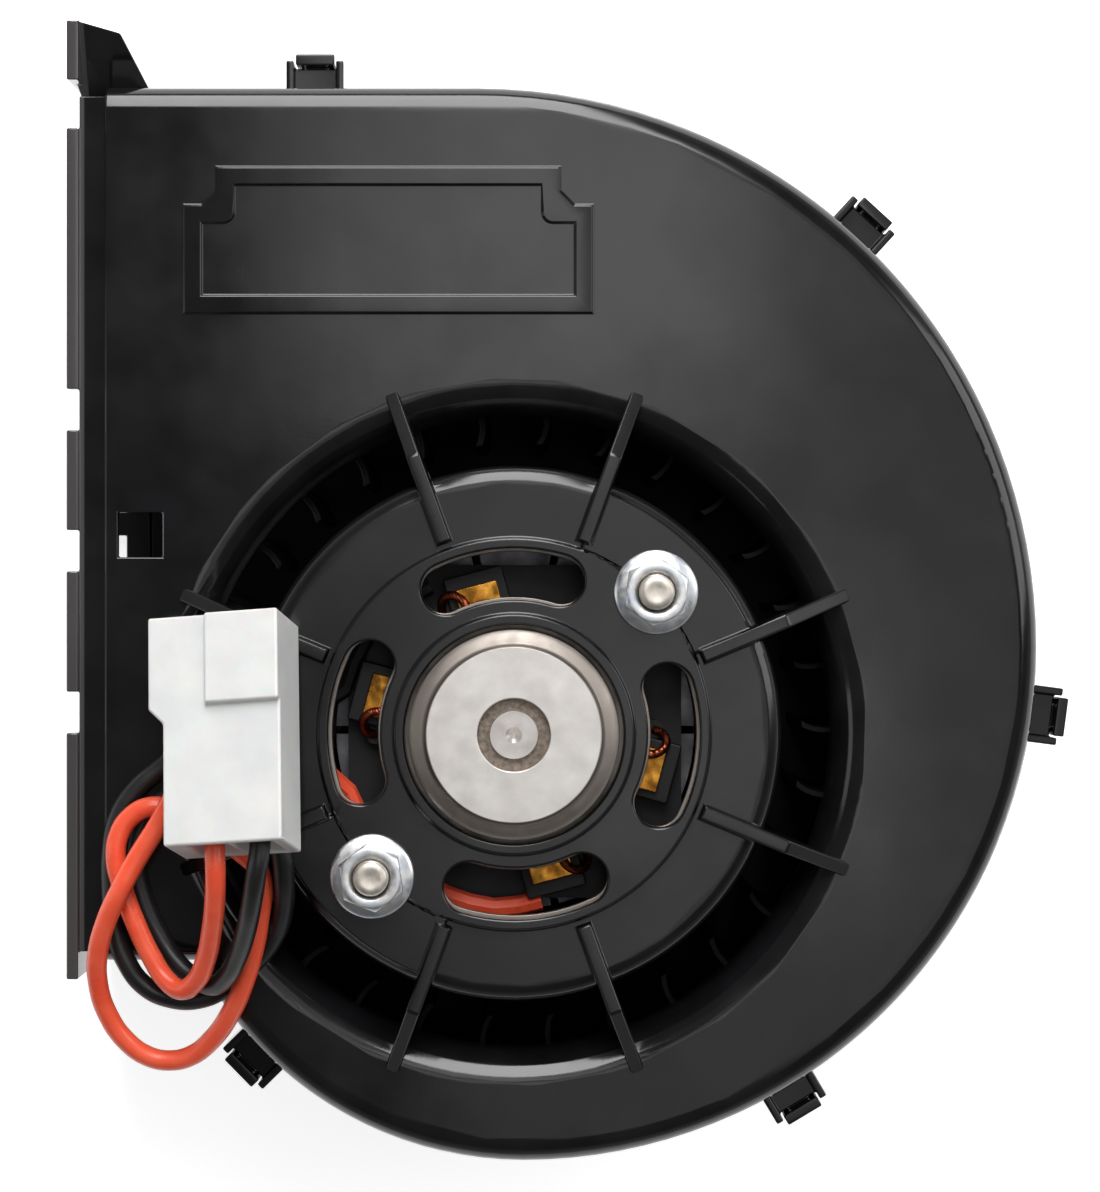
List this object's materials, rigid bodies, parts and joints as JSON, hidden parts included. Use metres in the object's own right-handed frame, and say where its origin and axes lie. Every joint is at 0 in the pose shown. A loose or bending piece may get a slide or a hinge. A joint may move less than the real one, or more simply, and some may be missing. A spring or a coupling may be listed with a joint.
{
  "type": "hvac blower motor",
  "caption": "Centrifugal ventilation blower: scroll casing with a side outlet, a brushed motor held in the inlet by spokes, a bladed wheel on its shaft, and two leads to a connector.",
  "frame": {"origin": "where the shaft axis meets the casing's flat rear face", "axes": "+Z along the shaft out of the inlet, +Y towards the long top side of the scroll, outlet facing -X"},
  "size_m": [0.1717, 0.1943, 0.0988],
  "materials": {
    "casing_plastic": "satin, faintly mottled black",
    "wheel_plastic": "satin black",
    "plated_steel": "matte pressed steel",
    "can_steel": "dull plated steel",
    "ferrite": "ground ceramic",
    "zinc": "bright zinc",
    "bronze": "porous sintered bronze",
    "felt": "oiled felt",
    "spring_steel": "plain spring steel",
    "shaft_steel": "ground steel",
    "core_steel": "stacked sheet steel",
    "copper": "copper",
    "phenolic": "moulded phenolic",
    "white_washer": "low-friction plastic",
    "brass_strip": "stamped brass",
    "carbon": "pressed carbon",
    "red_insulation": "satin orange-red",
    "black_insulation": "satin black",
    "grommet_rubber": "matte black",
    "white_nylon": "milky translucent nylon"
  },
  "bodies": {
    "casing": {"front_shell": "casing_plastic", "rear_shell": "casing_plastic", "motor_holder": "casing_plastic", "motor_end_plate": "plated_steel", "motor_can": "can_steel", "magnets": "ferrite", "mounting_studs": "zinc", "flange_nuts": "zinc", "front_bush": "bronze", "rear_bush": "bronze", "front_oil_felt": "felt", "rear_oil_felt": "felt", "front_bush_retainer": "spring_steel", "rear_bush_retainer": "spring_steel", "brush_springs": "spring_steel", "brush_shunts": "copper", "brush_card": "phenolic", "brush_boxes": "brass_strip", "connector_tabs": "brass_strip", "red_lead": "red_insulation", "red_lead_inner": "red_insulation", "black_lead": "black_insulation", "black_lead_inner": "black_insulation", "lead_grommet": "grommet_rubber", "connector_housing": "white_nylon"},
    "rotor": {"shaft": "shaft_steel", "armature_core": "core_steel", "armature_windings": "copper", "commutator_hub": "phenolic", "commutator_bars": "copper", "thrust_washers": "white_washer", "shaft_collars": "shaft_steel", "wheel": "wheel_plastic", "wheel_hub_insert": "bronze", "wheel_retaining_ring": "spring_steel"},
    "brush_1": {"brush_1": "carbon"},
    "brush_2": {"brush_2": "carbon"},
    "brush_3": {"brush_3": "carbon"},
    "brush_4": {"brush_4": "carbon"}
  },
  "joints": [
    {"name": "rotor_spin", "type": "hinge", "parent": "casing", "child": "rotor", "pos_m": [0, 0, 0.04], "axis": [0, 0, 1], "continuous": true},
    {"name": "brush_1_slide", "type": "slide", "parent": "casing", "child": "brush_1", "axis": [-0.2588, 0.9659, 0], "range_m": [0, 0.0025], "stiffness_N_per_m": 300, "springref_m": -0.004, "deforming": ["brush_springs", "brush_shunts"]},
    {"name": "brush_2_slide", "type": "slide", "parent": "casing", "child": "brush_2", "axis": [-0.9659, 0.2588, 0], "range_m": [0, 0.0025], "stiffness_N_per_m": 300, "springref_m": -0.004, "deforming": ["brush_springs", "brush_shunts"]},
    {"name": "brush_3_slide", "type": "slide", "parent": "casing", "child": "brush_3", "axis": [0.2588, -0.9659, 0], "range_m": [0, 0.0025], "stiffness_N_per_m": 300, "springref_m": -0.004, "deforming": ["brush_springs", "brush_shunts"]},
    {"name": "brush_4_slide", "type": "slide", "parent": "casing", "child": "brush_4", "axis": [0.9659, -0.2588, 0], "range_m": [0, 0.0025], "stiffness_N_per_m": 300, "springref_m": -0.004, "deforming": ["brush_springs", "brush_shunts"]}
  ]
}
